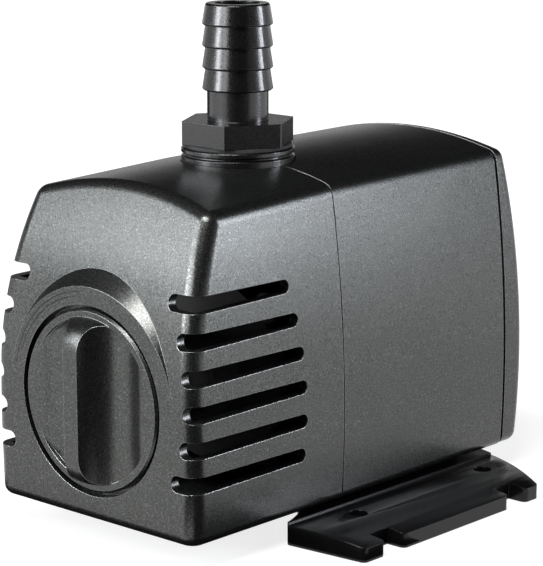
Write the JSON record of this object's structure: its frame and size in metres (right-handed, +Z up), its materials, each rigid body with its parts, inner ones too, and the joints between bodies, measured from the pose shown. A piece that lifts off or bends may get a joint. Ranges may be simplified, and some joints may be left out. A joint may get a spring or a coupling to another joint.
{
  "type": "fountain submersible pump",
  "caption": "Submersible fountain pump: slotted intake cage with a flow dial, crowned motor housing, barbed hose outlet on top, notched base plate.",
  "frame": {"origin": "centre of the base plate's four fixing holes, on its underside, where the pump rests", "axes": "+X to the right seen from the front, +Y from the flow dial to the cord inlet along the rotor, +Z up along the outlet"},
  "size_m": [0.108, 0.1365, 0.1213],
  "materials": {
    "charcoal_plastic": "satin, fine metallic speckle",
    "black_plastic": "gloss black moulding",
    "grey_plastic": "moulded",
    "white_plastic": "moulded",
    "rubber": "soft black",
    "ceramic": "ground",
    "magnet": "sintered ferrite",
    "laminations": "stacked silicon steel",
    "copper": "enamelled copper wire",
    "resin": "cast",
    "stainless": "bright"
  },
  "bodies": {
    "pump": {"pump_chamber": "black_plastic", "chamber_cover": "grey_plastic", "chamber_screws": "stainless", "chamber_cover_seal": "rubber", "rear_chamber_seal": "rubber", "hose_adaptor": "black_plastic", "adaptor_gasket": "rubber", "rotor_shaft": "ceramic", "front_bush": "rubber", "rear_bush": "rubber", "motor_housing": "charcoal_plastic", "stator_core": "laminations", "coil_bobbin_right": "white_plastic", "coil_bobbin_left": "white_plastic", "winding_right": "copper", "winding_left": "copper", "epoxy_potting": "resin", "rear_gasket": "rubber", "rear_cap": "charcoal_plastic", "rear_cap_screws": "stainless", "cord_gland": "rubber", "base_plate": "black_plastic", "base_screws": "stainless"},
    "cage": {"front_cage": "charcoal_plastic"},
    "dial": {"flow_dial": "charcoal_plastic", "flow_shutter": "grey_plastic", "shutter_screw": "stainless"},
    "rotor": {"impeller": "white_plastic", "rotor_sleeve": "white_plastic", "rotor_magnet": "magnet"}
  },
  "joints": [
    {"name": "cage_pull", "type": "slide", "parent": "pump", "child": "cage", "axis": [0, -1, 0], "range_m": [0, 0.05]},
    {"name": "flow_dial_turn", "type": "hinge", "parent": "cage", "child": "dial", "pos_m": [0, -0.073, 0.0345], "axis": [0, 1, 0], "range_deg": [0, 90]},
    {"name": "rotor_spin", "type": "hinge", "parent": "pump", "child": "rotor", "pos_m": [0, -0.02, 0.0345], "axis": [0, 1, 0], "continuous": true}
  ]
}
